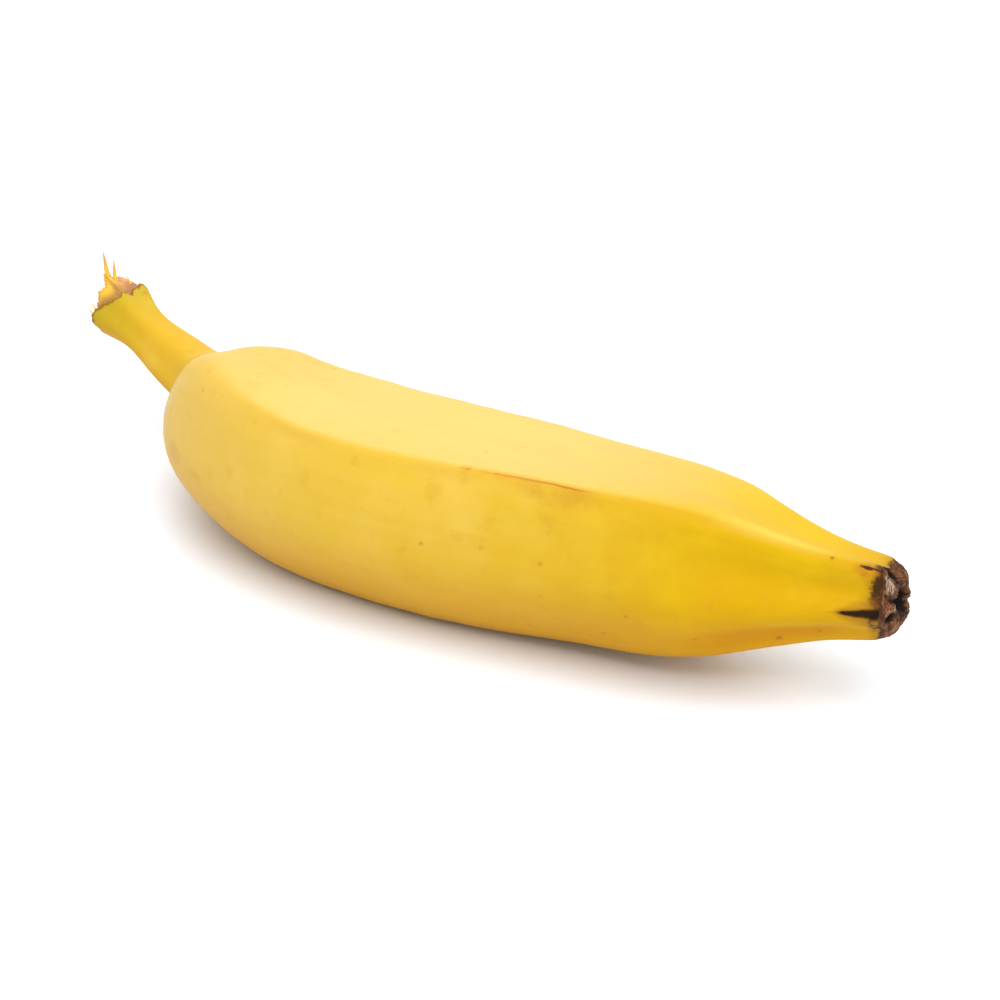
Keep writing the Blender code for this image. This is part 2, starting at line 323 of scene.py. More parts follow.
def peel_relief(distance, angle):
    """Small relief of the peel in millimetres: soft lumps, strands along the stem, and
    wrinkles that gather towards the blossom cap."""
    lumps = 0.11 * ripples(distance, angle, 3, (18, 60), (1, 7))
    dimples = 0.026 * ripples(distance, angle, 5, (5, 14), (6, 24))
    strands = ripples(distance, angle, 7, (60, 160), (14, 48), 30)
    stem = 1 - rise(distance, 26, 46)
    tip = rise(distance, 180, 196)
    body = rise(distance, 30, 60) * (1 - 0.6 * tip)
    return lumps * body + dimples * body + strands * (0.008 * stem + 0.005 * body + 0.016 * tip)


# Bells across the first ridge: height in millimetres, angle off the ridge and spread in degrees.
CREST_BELLS = ((0.34, 0.0, 3.8), (-0.14, 12.0, 8.0), (-0.36, -8.0, 6.5))
CREST_STARTS = (60, 86)
CREST_ENDS = (142, 166)


def crest(distance, angle):
    """Tightening of the first ridge in millimetres: a narrow raised line with a shallow hollow
    above it and a deeper one below it, from the shoulder to where the tip starts. It is a sum
    of bell curves of the angle off the ridge."""
    off = angle - along(distance, FIRST_RIDGE_AT, RIDGE_EASE)
    reach = rise(distance, *CREST_STARTS) * (1 - rise(distance, *CREST_ENDS))
    return reach * sum(height * np.exp(-((off - at) / spread) ** 2)
                       for height, at, spread in CREST_BELLS)


# Bells on the neck: height, distance and spread along the fruit in millimetres, and angle and
# spread round it in degrees.
NECK_BELLS = (
    (1.9, 29.0, 13.0, 125, 52),   # a fillet that carries the stem's upper edge on
    (-2.0, 42.0, 4.5, 125, 52),   # a dip where the shoulder starts
    (0.7, 50.5, 5.0, 125, 52),    # a slight hump on the shoulder
    (-0.9, 66.0, 11.0, 125, 52),  # a fall beyond the hump
    (-1.0, 42.5, 5.0, 95, 40),    # a valley between the stem and the shoulder
    (-1.2, 50.0, 7.0, 74, 22),    # a softer first ridge
    (-1.5, 38.0, 4.0, 72, 36),    # a scoop beside the first ridge
    (-0.6, 58.0, 13.0, -50, 55),  # a slimmer lower side
)


def neck_shape(distance, angle):
    """Neck and shoulder in millimetres: the sum of bells, each a bell curve along the fruit
    times one round it."""
    return sum(height * np.exp(-((distance - at) / spread) ** 2) * bump(angle, centre, width)
               for height, at, spread, centre, width in NECK_BELLS)


# Rows beyond the skin's two ends: fraction of the radius and distance from the edge. The first
# folds into the torn stem, and the second goes under the cap.
LIP = ((0.55, 6.0), (0.70, 4.0), (0.79, 2.2), (0.835, 1.0), (0.865, 0.35), (0.89, 0.08),
       (0.915, -0.04), (0.94, -0.03), (0.957, 0.04))
TUCK = ((0.94, 0.05), (0.90, -0.1), (0.82, -0.6), (0.6, -1.2))


def peel_mesh():
    """The peel: a lip folded into the torn stem, the skin, and an edge tucked under the cap."""
    base = np.concatenate([np.linspace(start, stop, count, endpoint=False)
                           for start, stop, count in PEEL_STRETCHES] + [[SKIN_END]])
    angle, part = column_angles(base)
    near_tear = np.clip(1 - base / TEAR_FADES_BY, 0, 1)[:, None] ** 2
    near_cap = np.clip((base - PEEL_EDGE_FROM) / (SKIN_END - PEEL_EDGE_FROM), 0, 1)[:, None]
    distance = base[:, None] + near_tear * rim_distance(angle) + near_cap * peel_edge(angle)
    radius = skin_radius(distance, angle, part[None, :])
    radius = radius + peel_relief(distance, angle) + crest(distance, angle)
    radius = radius + neck_shape(distance, angle)
    rolled = 1 - 0.035 * np.exp(-base / 0.35)[:, None]
    rolled = rolled - 0.03 * np.exp((base - SKIN_END) / 0.5)[:, None]
    skin = place(distance, angle, radius * rolled)

    lip_angle = np.repeat(angle[:1], len(LIP), 0)
    fraction, depth = (np.array(LIP)[:, [k]] for k in (0, 1))
    lip_distance = rim_distance(lip_angle) + depth
    lip_radius = fraction * skin_radius(lip_distance, lip_angle, part[None, :])
    inside = place(lip_distance, lip_angle, lip_radius)

    tuck_angle = np.repeat(angle[-1:], len(TUCK), 0)
    fraction, depth = (np.array(TUCK)[:, [k]] for k in (0, 1))
    tuck_distance = distance[-1:] + depth
    tucked = place(tuck_distance, tuck_angle, fraction * radius[-1:])

    rows = np.concatenate([inside, skin, tucked])
    all_distance = np.concatenate([lip_distance, distance, tuck_distance])
    all_angle = np.concatenate([lip_angle, angle, tuck_angle])
    from_rim = np.concatenate([-np.linspace(3, 0.1, len(LIP)), base, np.full(len(TUCK), SKIN_END)])
    from_rim = np.repeat(from_rim[:, None], angle.shape[1], 1)
    ridge = along(all_distance, FIRST_RIDGE_AT, RIDGE_EASE)
    ends = axis_point(np.array([lip_distance[0].mean(), tuck_distance[-1].mean()]))
    return closed_mesh("peel", rows, all_distance, all_angle, ends[0], ends[1],
                       {"from_rim": from_rim, "ridge": ridge})


# The torn pith

def pith_mesh():
    """The torn pith: a plate across the stem that dives under the peel's lip.

    Its height is the core's line round the stem with rings of torn lumps and strands that run
    outwards. It stands proud along the upper side and sinks below the rim at its edge.
    """
    fraction = np.concatenate([np.linspace(0.03, 0.80, 64), np.linspace(0.815, 0.90, 8)])
    angle, part = column_angles(np.zeros(1))
    angle = np.repeat(angle, len(fraction), 0)
    share = fraction[:, None]
    rim = rim_distance(angle)
    core = core_distance(angle)
    lumps = CORE_ROUGHNESS * waves(angle, (3, 5, 7), 2.1)
    middle = np.full_like(angle, core.mean())
    spread = rise(share, 0.05, 0.45)
    edge = rise(share, 0.70, 0.88)
    proud = PITH_PROUD * bump(angle, PITH_PROUD_AT, PITH_PROUD_WIDTH) * rise(share, 0.2, 0.7)
    level = middle * (1 - spread) + (core - 0.2) * spread + lumps * np.sin(np.pi * share) - proud
    crumbs = ripples(share * 6, angle, 11, (1.2, 5), (5, 30))
    strands = ripples(share * 6, angle, 13, (2.5, 9), (20, 90), 40)
    level = level + (0.26 * crumbs + 0.20 * strands * rise(share, 0.1, 0.5)) * (1 - edge)
    level = level * (1 - edge) + (rim + 0.45) * edge + 3.0 * rise(share, 0.85, 0.90)
    radius = share * skin_radius(np.clip(level, -0.5, 12), angle, part[None, :])
    rows = place(level, angle, radius)
    front = axis_point(np.array([core.mean()]))[0]
    back = axis_point(np.array([9.0]))[0]
    share = np.repeat(share, angle.shape[1], 1)
    relief = crumbs + strands
    return closed_mesh("torn_pith", rows, level, angle, front, back,
                       {"from_middle": share, "relief": relief})


# The blossom cap

# Distance beyond the skin's end, fraction of the radius, and height of the knobs.
CAP_RINGS = ((-1.6, 0.80, 0.00), (-0.6, 0.90, 0.00), (0.0, 0.95, 0.03), (0.25, 0.96, 0.05),
             (0.9, 0.93, 0.13), (1.6, 0.86, 0.26), (2.3, 0.77, 0.35), (2.9, 0.65, 0.40),
             (3.15, 0.53, 0.40), (3.0, 0.41, 0.35), (2.5, 0.29, 0.22), (1.7, 0.15, 0.10),
             (1.3, 0.03, 0.02))

# Angle round the cap, fraction of its radius, width and depth in millimetres.
CAP_PITS = ((76, 0.80, 1.2, 1.5), (-12, 0.79, 1.2, 1.3), (-120, 0.12, 2.6, 1.9),
            (12, 0.42, 1.7, 1.7), (150, 0.80, 0.9, 0.6), (215, 0.84, 1.1, 0.8),
            (275, 0.78, 0.9, 0.7))

# How far the cap's face leans, in millimetres, and towards which angle.
CAP_LEAN = 0.8
CAP_LEAN_AT = 28.0


def cap_mesh():
    """The blossom cap: rings that round over to a crater, with knobs, pits and dry wrinkles.

    A pit is a bell-shaped dent round a point of the cap, and its depth is taken inwards.
    """
    station = np.linspace(0, len(CAP_RINGS) - 1, 130)
    column = [along(station, tuple(zip(range(len(CAP_RINGS)), values)), 0.35)
              for values in zip(*CAP_RINGS)]
    beyond, fraction, knob = (values[:, None] for values in column)
    angle, part = column_angles(np.full(1, SKIN_END))
    foot = skin_radius(np.full_like(angle, SKIN_END), angle, part[None, :])
    angle = np.repeat(angle, len(station), 0)
    ripple = 0.5 * waves(angle, (4, 7, 9), 0.4) + 0.5 * waves(angle, (3, 8, 11), 1.1)
    crumple = ripples(beyond * 2 + fraction * 8, angle, 17, (1.5, 5), (4, 22), 30)
    fine = ripples(beyond * 2 + fraction * 8, angle, 19, (0.6, 2.4), (16, 80), 40)
    lumps = 0.5 * knob * waves(angle, (4, 5, 7), 2.0)
    grooves = ripples(beyond * 2 + fraction * 8, angle, 23, (0.7, 2.0), (0, 6), 24)
    lean = CAP_LEAN * fraction * np.cos(np.radians(angle - CAP_LEAN_AT)) * rise(beyond, 0.3, 2.2)
    level = SKIN_END + beyond + fraction * peel_edge(angle) + lumps + 0.30 * knob * crumple - lean
    radius = fraction * foot + knob * (ripple + 0.40 * crumple + 0.24 * fine + 0.26 * grooves)
    relief = knob * (ripple + 0.6 * crumple + 0.5 * fine + 0.5 * grooves) / 0.4
    across = np.stack([radius * np.cos(np.radians(angle)), radius * np.sin(np.radians(angle))], -1)
    for turn, share, width, depth in CAP_PITS:
        turn = np.radians(turn)
        pit = share * foot.mean() * np.array([np.cos(turn), np.sin(turn)])
        dent = depth * np.exp(-((across - pit) ** 2).sum(-1) / (width / 1.6) ** 2) * (beyond > 0.3)
        level = level - dent * 0.8
        radius = np.maximum(radius - dent * 0.5 * (share > 0.5), 0.05)
        relief = relief - 2.2 * dent
    rows = place(level, angle, radius)
    ends = axis_point(np.array([SKIN_END - 2.0, SKIN_END + 1.2]))
    share = np.repeat(fraction, angle.shape[1], 1)
    return closed_mesh("blossom_cap", rows, level, angle, ends[0], ends[1],
                       {"from_middle": share, "relief": relief})


# The torn fibres

# Angle round the axis, fraction of the radius, length, root radius, lean, bend at the tip.
FIBRES = (
    (81, 0.60, 6.0, 0.85, 0.66, 0.08),
    (94, 0.64, 4.6, 0.60, 0.80, 0.06),
    (58, 0.70, 1.8, 0.50, 0.50, 0.15),
    (125, 0.76, 1.1, 0.50, 0.30, 0.10),
    (-24, 0.90, 1.1, 0.50, 0.05, 0.15),
    (-8, 0.90, 1.3, 0.45, 0.15, 0.15),
    (8, 0.88, 1.2, 0.45, 0.20, 0.15),
    (165, 0.72, 1.5, 0.45, 0.30, 0.15),
    (201, 0.74, 1.9, 0.45, 0.10, 0.15),
    (238, 0.74, 1.7, 0.42, 0.00, 0.10),
    (286, 0.78, 1.6, 0.42, 0.00, 0.10),
)
FIBRE_ROOT = 1.2
HAIRS = 70
HAIR_ROOT = 0.5


def strand_mesh(root, forward, length, radius, lean, bend, sides_count, rows_count, seed, sunk):
    """A tapered strand: circles carried along a line that turns from the axis to the upright.

    Its width falls as the root of what is left, and it is flattened and grooved lengthwise.
    """
    draw = np.random.default_rng(seed)
    steps = np.linspace(0, 1, rows_count)[:, None]
    upright = np.array([0.0, 0.0, 1.0])
    wander = draw.normal(0, 0.10, 3)
    tilt = lean + bend * steps
    way = (1 - lean - bend * steps) * -forward + tilt * upright + wander * steps ** 1.5
    way = way / np.linalg.norm(way, axis=1)[:, None]
    stride = way * (length + sunk) / (rows_count - 1)
    centre = root - sunk * way[0] + np.concatenate([np.zeros((1, 3)), np.cumsum(stride, 0)[:-1]])
    side = np.cross(way, [0.3, 0.9, 0.2])
    side = side / np.linalg.norm(side, axis=1)[:, None]
    other = np.cross(way, side)
    turn = np.arange(sides_count) * -360 / sides_count
    spin = np.radians(turn)[None, :, None]
    width = radius * np.clip(1 - steps, 0.02, 1) ** 0.75
    groove = 1 + 0.16 * np.sin(3 * spin + seed)
    groove = groove + 0.08 * np.sin(5 * spin + 9 * steps[:, None] + seed)
    offset = groove * (np.cos(spin) * side[:, None] + 0.72 * np.sin(spin) * other[:, None])
    rows = centre[:, None] + width[:, None] * offset
    distance = np.repeat(steps * MAP_LENGTH, sides_count, 1)
    angle = np.repeat(turn[None], rows_count, 0)
    point = centre[-1] + way[-1] * 0.05
    return closed_mesh("strand", rows, distance, angle, rows[0].mean(0), point)


def fibres_mesh():
    """The torn fibres that the solid has, each with finer sides and grooves."""
    parts = []
    for number, (angle, fraction, length, radius, lean, bend) in enumerate(FIBRES):
        turn = np.array([float(angle)])
        distance = core_distance(turn)
        root = place(distance, turn, fraction * along(distance, RADIUS_AT, RADIUS_EASE))[0]
        forward = direction(distance)[0][0]
        radius = radius * (1.0 if length > 2.5 else 0.65)
        parts.append(strand_mesh(root, forward, length, radius, lean, bend, 12, 26, number,
                                 FIBRE_ROOT))
    return joined_mesh("torn_fibres", parts)


def hairs_mesh():
    """Fine loose hairs round the torn end, thickest in number on the tongue."""
    draw = np.random.default_rng(41)
    parts = []
    for number in range(HAIRS):
        near_tongue = draw.random() < 0.45
        angle = draw.normal(82, 16) if near_tongue else draw.uniform(0, 360)
        fraction = draw.uniform(0.45, 0.88)
        turn = np.array([float(angle)])
        distance = core_distance(turn)
        root = place(distance, turn, fraction * along(distance, RADIUS_AT, RADIUS_EASE))[0]
        forward = direction(distance)[0][0]
        outward = root - axis_point(distance)[0]
        forward = forward - draw.uniform(0, 0.8) * outward / np.linalg.norm(outward)
        length = draw.uniform(0.5, 1.6) + (draw.uniform(0.3, 3.2) if near_tongue else 0)
        lean = draw.uniform(0.1, 0.8) if near_tongue else draw.uniform(0, 0.3)
        radius = draw.uniform(0.03, 0.085)
        parts.append(strand_mesh(root, forward, length, radius, lean, 0.2, 5, 9, number, HAIR_ROOT))
    return joined_mesh("torn_hairs", parts)


# Shader maths

class Value:
    """A number that varies over a surface: a node's socket with Python's operators."""

    def __init__(self, finish, socket):
        self.finish = finish
        self.socket = socket

    def __add__(self, other):
        return self.finish.maths("ADD", self, other)

    def __radd__(self, other):
        return self.finish.maths("ADD", other, self)

    def __sub__(self, other):
        return self.finish.maths("SUBTRACT", self, other)

    def __rsub__(self, other):
        return self.finish.maths("SUBTRACT", other, self)

    def __mul__(self, other):
        return self.finish.maths("MULTIPLY", self, other)

    def __rmul__(self, other):
        return self.finish.maths("MULTIPLY", other, self)

    def __truediv__(self, other):
        return self.finish.maths("DIVIDE", self, other)

    def __rtruediv__(self, other):
        return self.finish.maths("DIVIDE", other, self)


class Finish:
    """A material in the making. Numbers are Values, and colours and vectors are sockets."""

    def __init__(self, name, roughness=0.5, **constants):
        self.material = bpy.data.materials.new(name)
        self.material.use_nodes = True
        self.tree = self.material.node_tree
        self.shader = self.tree.nodes["Principled BSDF"]
        self.shader.inputs["Roughness"].default_value = roughness
        for key, value in constants.items():
            self.shader.inputs[key.replace("_", " ")].default_value = value

    def node(self, kind, settings=None, sockets=None):
        """A new node: its settings first, then the values or links of its sockets."""
        made = self.tree.nodes.new("ShaderNode" + kind)
        for key, value in (settings or {}).items():
            setattr(made, key, value)
        for key, value in (sockets or {}).items():
            self.feed(made.inputs[key], value)
        return made

    def feed(self, socket, value):
        """Link a Value or a socket into a socket, or set its plain value."""
        if isinstance(value, Value):
            value = value.socket
        if isinstance(value, bpy.types.NodeSocket):
            self.tree.links.new(value, socket)
        else:
            socket.default_value = value

    def maths(self, operation, *values):
        """A Math node on numbers or Values."""
        made = self.node("Math", {"operation": operation}, dict(enumerate(values)))
        return Value(self, made.outputs[0])

    def smooth(self, value, low, high):
        """0 at low, 1 at high, and a smooth S between them."""
        made = self.node("MapRange", {"interpolation_type": "SMOOTHSTEP"},
                         {"Value": value, "From Min": low, "From Max": high})
        return Value(self, made.outputs["Result"])

    def mix(self, factor, first, second, blend="MIX"):
        """Two colours mixed by a factor."""
        made = self.node("Mix", {"data_type": "RGBA", "blend_type": blend, "clamp_factor": True},
                         {0: factor, 6: first, 7: second})
        return made.outputs[2]

    def noise(self, vector, scale, detail=3.0, roughness=0.55, distortion=0.0):
        """Noise between about 0 and 1 at a scale in features per metre."""
        made = self.node("TexNoise", None, {"Vector": vector, "Scale": scale, "Detail": detail,
                                            "Roughness": roughness, "Distortion": distortion})
        return Value(self, made.outputs["Fac"])

    def attribute(self, name):
        """A number that the mesh carries."""
        return Value(self, self.node("Attribute", {"attribute_name": name}).outputs["Fac"])

    def chart(self):
        """The surface's own map: distance along the fruit in millimetres, and angle in degrees."""
        chart = self.node("UVMap", {"uv_map": "surface"})
        split = self.node("SeparateXYZ", None, {0: chart.outputs[0]})
        return Value(self, split.outputs[0]) * MAP_LENGTH, Value(self, split.outputs[1]) * MAP_ANGLE

    def place(self, scale=(1, 1, 1)):
        """Object coordinates, stretched."""
        made = self.node("Mapping", None, {"Vector": self.node("TexCoord").outputs["Object"],
                                           "Scale": scale})
        return made.outputs[0]

    def near(self, value, far, close):
        """1 where a value is nearer to zero than close, falling to 0 where it is far off."""
        return self.smooth(self.maths("ABSOLUTE", value), far, close)

    def round_noise(self, lengthwise, turn, spread, detail, roughness, distortion):
        """Noise on a tube: its place is the length, and the turn's cosine and sine times the
        spread, so that it joins up round the fruit."""
        ring = self.node("CombineXYZ", None, {0: lengthwise, 1: self.maths("COSINE", turn) * spread,
                                              2: self.maths("SINE", turn) * spread})
        return self.noise(ring.outputs[0], 1.0, detail, roughness, distortion)

    def bumps(self, height, distance, strength=1.0):
        """A bumped normal from a height in shares of the distance in metres."""
        return self.node("Bump", None, {"Height": height, "Distance": distance,
                                        "Strength": strength}).outputs[0]

    def done(self, **sockets):
        """Feed the shader and hand over the material."""
        for key, value in sockets.items():
            self.feed(self.shader.inputs[key.replace("_", " ")], value)
        return self.material


def tone(red, green, blue):
    """A colour from screen values of 0 to 255, as linear light."""
    def linear(value):
        value = value / 255
        return value / 12.92 if value <= 0.04045 else ((value + 0.055) / 1.055) ** 2.4
    return (linear(red), linear(green), linear(blue), 1.0)


# Dark specks: distance in millimetres, angle in degrees, and half length and half width in
# millimetres.
SPECKS = ((187.5, 59.2, 0.32, 0.32), (186.2, -41.7, 0.35, 0.30), (179.2, -45.6, 0.50, 0.42),
          (165.8, -34.0, 0.28, 0.28), (155.1, -13.8, 0.35, 0.22), (148.9, -36.0, 0.30, 0.25),
          (138.3, 7.3, 0.30, 0.25), (114.5, 5.2, 0.30, 0.25), (67.4, 138.3, 0.30, 0.30),
          (195.5, 35.2, 0.40, 0.35), (4.3, 132.7, 0.35, 0.30), (72.7, -43.7, 0.40, 0.30),
          (96.0, 200.0, 0.45, 0.35), (131.0, 178.0, 0.35, 0.35), (160.0, -150.0, 0.50, 0.35),
          (88.0, -100.0, 0.35, 0.35), (121.0, -170.0, 0.35, 0.30))

# How much of its colour the peel sends back.
PEEL_SHADE = 0.79


def peel_finish():
    """Ripe peel: paler at the shoulder, deeper towards the tip, greenish on the stem, with
    lengthwise streaks, small dark specks, a scuffed ridge and brown, dry edges. A painted sheen
    lightens the top above the first ridge, a painted highlight runs along that ridge near the
    tip, and painted shade darkens the lower side, the troughs near the tip and the stem where it
    meets the shoulder."""
    f = Finish("ripe_peel", roughness=0.44, Specular_IOR_Level=0.09)
    distance, angle = f.chart()
    from_rim = f.attribute("from_rim")
    place_on = f.place()
    cloud = f.noise(place_on, 26, 3.0)
    patch = f.noise(place_on, 75, 4.0)
    mottle = f.noise(place_on, 240, 4.0, 0.6)
    grain = f.noise(place_on, 900, 4.0, 0.7)
    turn = angle * (math.pi / 180)
    streak = f.round_noise(distance * 0.011, turn, 2.4, 4.0, 0.65, 0.3)
    strand = f.round_noise(distance * 0.05, turn, 14.0, 4.0, 0.7, 0.2)

    def spot(at, round_at, length, width):
        """Squared distance from a place on the peel, 1 at the edge of an oval."""
        radius = float(along(np.array(float(at)), RADIUS_AT, RADIUS_EASE))
        degrees = math.degrees(width / radius)
        lengthwise = (distance - at) * (1 / length)
        across = (angle - round_at) * (1 / degrees)
        return lengthwise * lengthwise + across * across

    # The ground colour and its changes along the fruit.
    colour = f.mix(f.smooth(distance, 45, 110), tone(238, 197, 92), tone(236, 193, 60))
    colour = f.mix(f.smooth(distance, 105, 178), colour, tone(220, 171, 0))
    stem = f.mix(f.smooth(distance + cloud * 8, 3, 24), tone(208, 176, 34), tone(231, 183, 42))
    colour = f.mix(f.smooth(distance + cloud * 6, 28, 50), stem, colour)
    to_tip = f.smooth(distance, 118, 168)
    colour = f.mix(f.smooth(patch, 0.42, 0.70) * 0.42, colour,
                   f.mix(to_tip, tone(246, 206, 96), tone(238, 200, 6)))
    colour = f.mix(f.smooth(streak, 0.48, 0.78) * 0.35, colour,
                   f.mix(to_tip, tone(222, 164, 30), tone(214, 158, 2)))
    colour = f.mix(f.smooth(streak, 0.46, 0.22) * 0.25, colour,
                   f.mix(to_tip, tone(246, 208, 104), tone(240, 204, 20)))
    # Painted shade: the lower side, turned away from the light, is darker and more orange.
    low_side_shade = f.near(angle + 62, 75, 20)
    colour = f.mix(low_side_shade * 0.66, colour, tone(227, 158, 10))
    body = f.smooth(distance, 36, 60)
    colour = f.mix(f.smooth(strand, 0.56, 0.78) * body * 0.15, colour, tone(214, 158, 30))
    colour = f.mix(f.smooth(mottle, 0.54, 0.72) * 0.26, colour, tone(214, 156, 40))
    colour = f.mix(f.smooth(grain, 0.60, 0.85) * 0.10, colour, tone(188, 138, 44))

    # Paler skin above the first ridge, painted there as the sheen of the light on the top, warmer
    # where it has been rubbed, and a dull bruise.
    off_ridge = angle - f.attribute("ridge")
    # Painted sheen: the upper mask lightens the top above the first ridge.
    upper = f.smooth(off_ridge, -1.5, 3.0) * f.smooth(angle, 170, 145) * f.smooth(distance, 54, 92)
    colour = f.mix(upper * f.smooth(distance, 196, 184) * 0.40, colour,
                   f.mix(f.smooth(distance, 126, 182), tone(242, 212, 132), tone(240, 206, 40)))
    near_tip = f.smooth(distance, 162, 176) * f.smooth(distance, 196, 189)
    # Painted highlight: a pale band along the first ridge near the tip.
    ridge_highlight = f.near(off_ridge - 3, 11, 2) * near_tip
    colour = f.mix(ridge_highlight * f.smooth(distance, 190, 181) * 0.40, colour, tone(250, 222, 112))
    # Painted shade: deeper yellow in the trough above the first ridge near the tip.
    trough_shade = f.near(off_ridge - 30, 24, 8) * near_tip
    colour = f.mix(trough_shade * 0.35, colour, tone(240, 196, 0))
    rubbed = f.near(off_ridge + 2 + (patch - 0.5) * 8, 5, 0.5)
    colour = f.mix(rubbed * f.smooth(distance, 60, 95) * f.smooth(patch, 0.35, 0.65) * 0.25, colour,
                   tone(210, 148, 30))
    bruise = f.smooth(spot(139.5, 44.0, 9.0, 2.0) + (patch - 0.5) * 2.4, 1.3, 0.1)
    for mark in ((140.2, 28.0, 3.5, 2.2), (58.9, -2.5, 3.0, 2.0)):
        bruise = f.maths("MAXIMUM", bruise, f.smooth(spot(*mark) + patch * 2 - 1, 1.2, 0.1))
    colour = f.mix(bruise * f.smooth(mottle, 0.35, 0.60) * 0.28, colour, tone(200, 138, 44))

    # The scar along the ridge: a thin broken line.
    line = 46.3 + (distance - 116.6) * 0.125
    off_line = f.maths("ABSOLUTE", angle - line + (mottle - 0.5) * 1.6)
    ends = f.smooth(distance, 114, 122) * f.smooth(distance, 148.0, 141)
    broken = f.smooth(f.noise(place_on, 330, 3.0) + f.smooth(distance, 124, 132) * 0.22, 0.42, 0.66)
    scar = f.smooth(off_line, 0.85, 0.15) * ends * broken
    colour = f.mix(f.smooth(off_line, 3.4, 0.4) * ends * broken * 0.40, colour, tone(224, 152, 40))
    scar_colour = f.mix(f.smooth(distance, 128, 139), tone(206, 130, 44), tone(166, 98, 32))
    colour = f.mix(scar * 0.58, colour, scar_colour)

    # Small dark specks, and faint dots over the whole fruit.
    nearest = None
    for speck in SPECKS:
        nearest = spot(*speck) if nearest is None else f.maths("MINIMUM", nearest, spot(*speck))
    colour = f.mix(f.smooth(nearest, 7.0, 0.8) * 0.28, colour, tone(204, 138, 34))
    depth = 0.26 + f.smooth(distance, 150, 184) * 0.34
    core = f.smooth(nearest + (grain - 0.5) * 1.5, 1.3, 0.3) * depth
    colour = f.mix(core, colour, tone(120, 68, 20))
    cells = f.node("TexVoronoi", None, {"Vector": place_on, "Scale": 150.0, "Randomness": 1.0})
    chosen = Value(f, f.node("SeparateColor", None, {0: cells.outputs["Color"]}).outputs[0])
    reach = 0.03 + chosen * 0.10
    dot = f.smooth(Value(f, cells.outputs["Distance"]) / reach, 1.0, 0.2)
    dot = dot * f.smooth(chosen, 0.35, 0.6)
    colour = f.mix(dot * 0.32, colour, tone(200, 132, 32))

    # Painted shade: deeper colour in the trough under the second ridge.
    trough = f.near(angle + 38, 17, 4) * f.smooth(distance, 160, 174)
    colour = f.mix(trough * f.smooth(distance, 193, 186) * 0.45, colour, tone(206, 130, 14))

    # The stem: greenish under the torn rim, with painted shade where it meets the shoulder.
    green = f.smooth(from_rim + cloud * 6, 12, 3) * f.smooth(patch + strand * 0.6, 0.60, 0.95)
    colour = f.mix(green * 0.40, colour, tone(176, 166, 30))
    # Painted shade: the stem's base darkens where it goes in under the shoulder.
    neck = f.near(distance - 38, 9, 1) * f.smooth(patch, 0.2, 0.5)
    colour = f.mix(neck * 0.55, colour, tone(222, 154, 34))
    rim = f.smooth(from_rim + (mottle - 0.5) * 2.4, 1.5, 0.5)
    colour = f.mix(rim * 0.85, colour, tone(150, 92, 34))
    inside = f.smooth(from_rim, 0.05, -0.25)
    colour = f.mix(inside, colour, tone(196, 130, 62))

    # The tip: olive and brown towards the cap, dark streaks and a spot with a warm edge.
    facing = f.near(angle - 24, 70, 25)
    to_cap = distance + (mottle - 0.5) * 9 + (patch - 0.5) * 5 + (strand - 0.5) * 2 + facing * 0.9
    olive = f.smooth(distance + (patch - 0.5) * 12, 178, 196)
    colour = f.mix(olive * 0.30, colour, tone(206, 158, 20))
    colour = f.mix(f.smooth(to_cap, 192.6, 196.6) * 0.60, colour, tone(168, 118, 24))
    colour = f.mix(f.smooth(to_cap, 195.1, 196.9) * f.smooth(mottle, 0.68, 0.56) * 0.95, colour,
                   tone(56, 30, 15))
    wedge_middle = (distance - 190.3) * 0.3 - 1.3
    wedge_width = f.maths("MAXIMUM", 0.8 + (distance - 189.2) * 1.05, 0.5)
    off_wedge = f.maths("ABSOLUTE", angle - wedge_middle + (mottle - 0.5) * 5) / wedge_width
    wedge = f.smooth(off_wedge, 1.3, 0.45) * f.smooth(distance, 189.2, 190.8)
    colour = f.mix(f.smooth(off_wedge, 4.5, 0.6) * f.smooth(distance, 186.8, 191.0) * 0.55, colour,
                   tone(150, 92, 26))
    colour = f.mix(wedge * 0.97, colour, tone(28, 14, 8))
    halo = f.smooth(spot(193.9, 58.5, 2.6, 1.4) + (patch - 0.5) * 1.2, 1.4, 0.2)
    colour = f.mix(halo * 0.50, colour, tone(206, 128, 26))
    oval = f.smooth(spot(193.7, 59.8, 1.15, 0.42) + (mottle - 0.5) * 1.4, 1.3, 0.5)
    thread = f.near(angle - 60.5 + (mottle - 0.5) * 4, 2.6, 0.9)
    thread = thread * f.smooth(distance, 192.0, 192.8)
    colour = f.mix(f.maths("MAXIMUM", oval, thread * 0.9) * 0.94, colour, tone(54, 26, 14))

    # The real skin reflects less than its look on a white table suggests.
    colour = f.mix(1.0, colour, (PEEL_SHADE, PEEL_SHADE, PEEL_SHADE, 1.0), "MULTIPLY")
    rough = 0.40 + patch * 0.12 + rim * 0.2 + scar * 0.15 + f.smooth(distance, 42, 30) * 0.18
    rough = rough + f.smooth(distance, 150, 176) * 0.12
    height = grain * 0.45 + strand * 0.45 + mottle * 0.5 - scar * 0.8
    return f.done(Base_Color=colour, Roughness=rough, Normal=f.bumps(height, 0.00009, 0.8))


